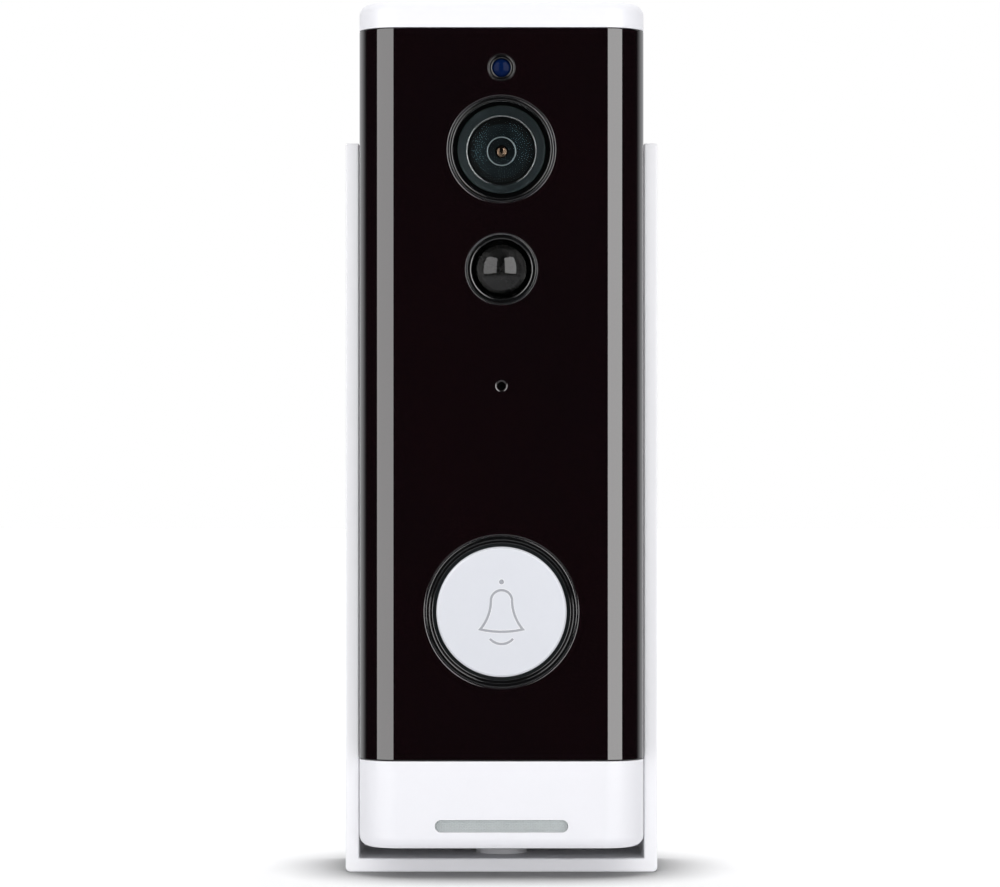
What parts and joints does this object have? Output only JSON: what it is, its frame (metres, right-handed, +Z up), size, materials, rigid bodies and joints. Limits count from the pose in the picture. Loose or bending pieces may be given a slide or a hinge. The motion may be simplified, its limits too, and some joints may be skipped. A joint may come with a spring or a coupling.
{
  "type": "video doorbell",
  "caption": "Battery video doorbell with a camera window, motion dome, round bell button and speaker slot, standing in an open-fronted wall cradle.",
  "frame": {"origin": "on the wall plane, midway between the cradle's two screw holes", "axes": "+Z up along the doorbell, +Y into the wall, the front faces -Y"},
  "size_m": [0.0508, 0.0323, 0.1407],
  "materials": {
    "white_shell": "satin white, moulded",
    "cradle_white": "fine matt white, moulded",
    "panel_black": "high gloss black",
    "bezel_black": "gloss black",
    "inner_black": "matt black",
    "window_glass": "clear, coated",
    "smoked_dome": "smoked, glossy",
    "sensor_lens": "clear blue",
    "rubber_black": "matt silicone",
    "rubber_white": "matt silicone",
    "button_silver": "satin silver",
    "mark_grey": "matt grey inlay",
    "switch_black": "matt",
    "reset_grey": "matt grey",
    "grille_grey": "fine woven mesh, pale grey-green",
    "circuit_green": "solder mask",
    "chip_black": "moulded epoxy",
    "led_clear": "clear epoxy",
    "sensor_metal": "tinned",
    "antenna_gold": "gold plated",
    "ribbon_amber": "polyimide film",
    "lead_red": "insulated wire",
    "cell_wrap": "shrink-wrapped cell",
    "screw_steel": "zinc plated",
    "washer_nylon": "nylon",
    "insert_brass": "knurled"
  },
  "bodies": {
    "cradle": {"wall_cradle": "cradle_white"},
    "unit": {"front_housing": "white_shell", "rear_cover": "white_shell", "front_panel": "panel_black", "camera_bezel": "bezel_black", "pir_bezel": "bezel_black", "light_sensor_bezel": "bezel_black", "light_ring": "bezel_black", "lens_hood": "inner_black", "lens_barrel": "inner_black", "lens_iris": "inner_black", "battery_holder": "inner_black", "speaker": "inner_black", "camera_window": "window_glass", "front_lens": "window_glass", "inner_lens": "window_glass", "pir_lens": "smoked_dome", "light_sensor_lens": "sensor_lens", "housing_seal": "rubber_black", "mic_gasket": "rubber_black", "speaker_gasket": "rubber_black", "screw_plugs": "rubber_black", "port_cover_tab": "rubber_white", "button_switch": "switch_black", "reset_switch": "switch_black", "ribbon_connectors": "switch_black", "camera_connector": "switch_black", "speaker_mesh": "grille_grey", "sensor_board": "circuit_green", "button_board": "circuit_green", "main_board": "circuit_green", "camera_board": "circuit_green", "processor": "chip_black", "wifi_module": "chip_black", "image_sensor": "chip_black", "microphone": "chip_black", "light_sensor": "chip_black", "infrared_leds": "led_clear", "status_leds": "led_clear", "pir_sensor": "sensor_metal", "shield_can": "sensor_metal", "usb_socket": "sensor_metal", "battery_contacts": "sensor_metal", "antenna": "antenna_gold", "board_ribbon": "ribbon_amber", "button_ribbon": "ribbon_amber", "battery_leads": "lead_red", "battery_cell_left": "cell_wrap", "battery_cell_right": "cell_wrap", "housing_screws": "screw_steel", "board_screws": "screw_steel", "security_insert": "insert_brass"},
    "button": {"button_cap": "button_silver", "bell_mark": "mark_grey", "button_carrier": "inner_black", "switch_stem": "switch_black"},
    "reset": {"reset_button": "reset_grey"},
    "port_flap": {"port_cover": "rubber_white"},
    "security_washer": {"security_washer": "washer_nylon"},
    "security_screw": {"security_screw": "screw_steel"}
  },
  "joints": [
    {"name": "unit_lift", "type": "slide", "parent": "cradle", "child": "unit", "axis": [0, 0, 1], "range_m": [0, 0.12]},
    {"name": "button_press", "type": "slide", "parent": "unit", "child": "button", "axis": [0, 1, 0], "range_m": [0, 0.0006], "stiffness_N_per_m": 4000},
    {"name": "reset_press", "type": "slide", "parent": "unit", "child": "reset", "axis": [0, -1, 0], "range_m": [0, 0.0004], "stiffness_N_per_m": 3000},
    {"name": "port_flap_open", "type": "hinge", "parent": "unit", "child": "port_flap", "pos_m": [-0.008, -0.0029, 0.0635], "axis": [0, 0, 1], "range_deg": [0, 100]},
    {"name": "security_out", "type": "slide", "parent": "cradle", "child": "security_washer", "axis": [0, 0, -1], "range_m": [0, 0.006]},
    {"name": "security_turn", "type": "hinge", "parent": "security_washer", "child": "security_screw", "pos_m": [0, -0.0105, -0.062], "axis": [0, 0, -1], "range_deg": [0, 4321]}
  ],
  "couplings": [
    {"joint": "security_turn", "follows": "security_out", "rad_per_m": 12566}
  ]
}
